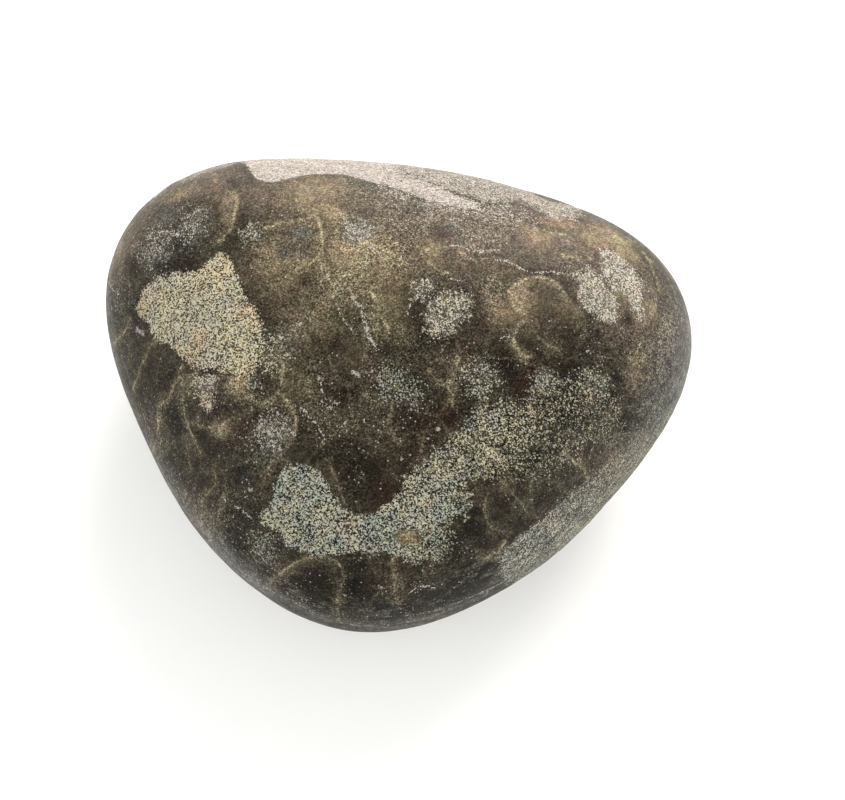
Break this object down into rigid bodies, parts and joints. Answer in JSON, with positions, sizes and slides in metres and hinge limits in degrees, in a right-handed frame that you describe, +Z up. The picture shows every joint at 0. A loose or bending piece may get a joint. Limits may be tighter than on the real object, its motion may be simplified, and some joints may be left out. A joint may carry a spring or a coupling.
{
  "type": "petoskey stone",
  "caption": "Beach-worn pebble of fossil coral, a soft rounded triangle from above, that rests on a small flat spot.",
  "frame": {"origin": "Middle of the small flat spot that the stone rests on.", "axes": "+X along the stone's length, to the viewer's right; +Y away from the viewer; +Z up, across the stone's thickness."},
  "size_m": [0.0767, 0.0632, 0.0374],
  "materials": {
    "coral_limestone": "Dark brown-grey coral limestone, worn smooth by water to a satin sheen, with paler granular patches."
  },
  "bodies": {
    "root": {"petoskey_stone": "coral_limestone"}
  },
  "joints": []
}
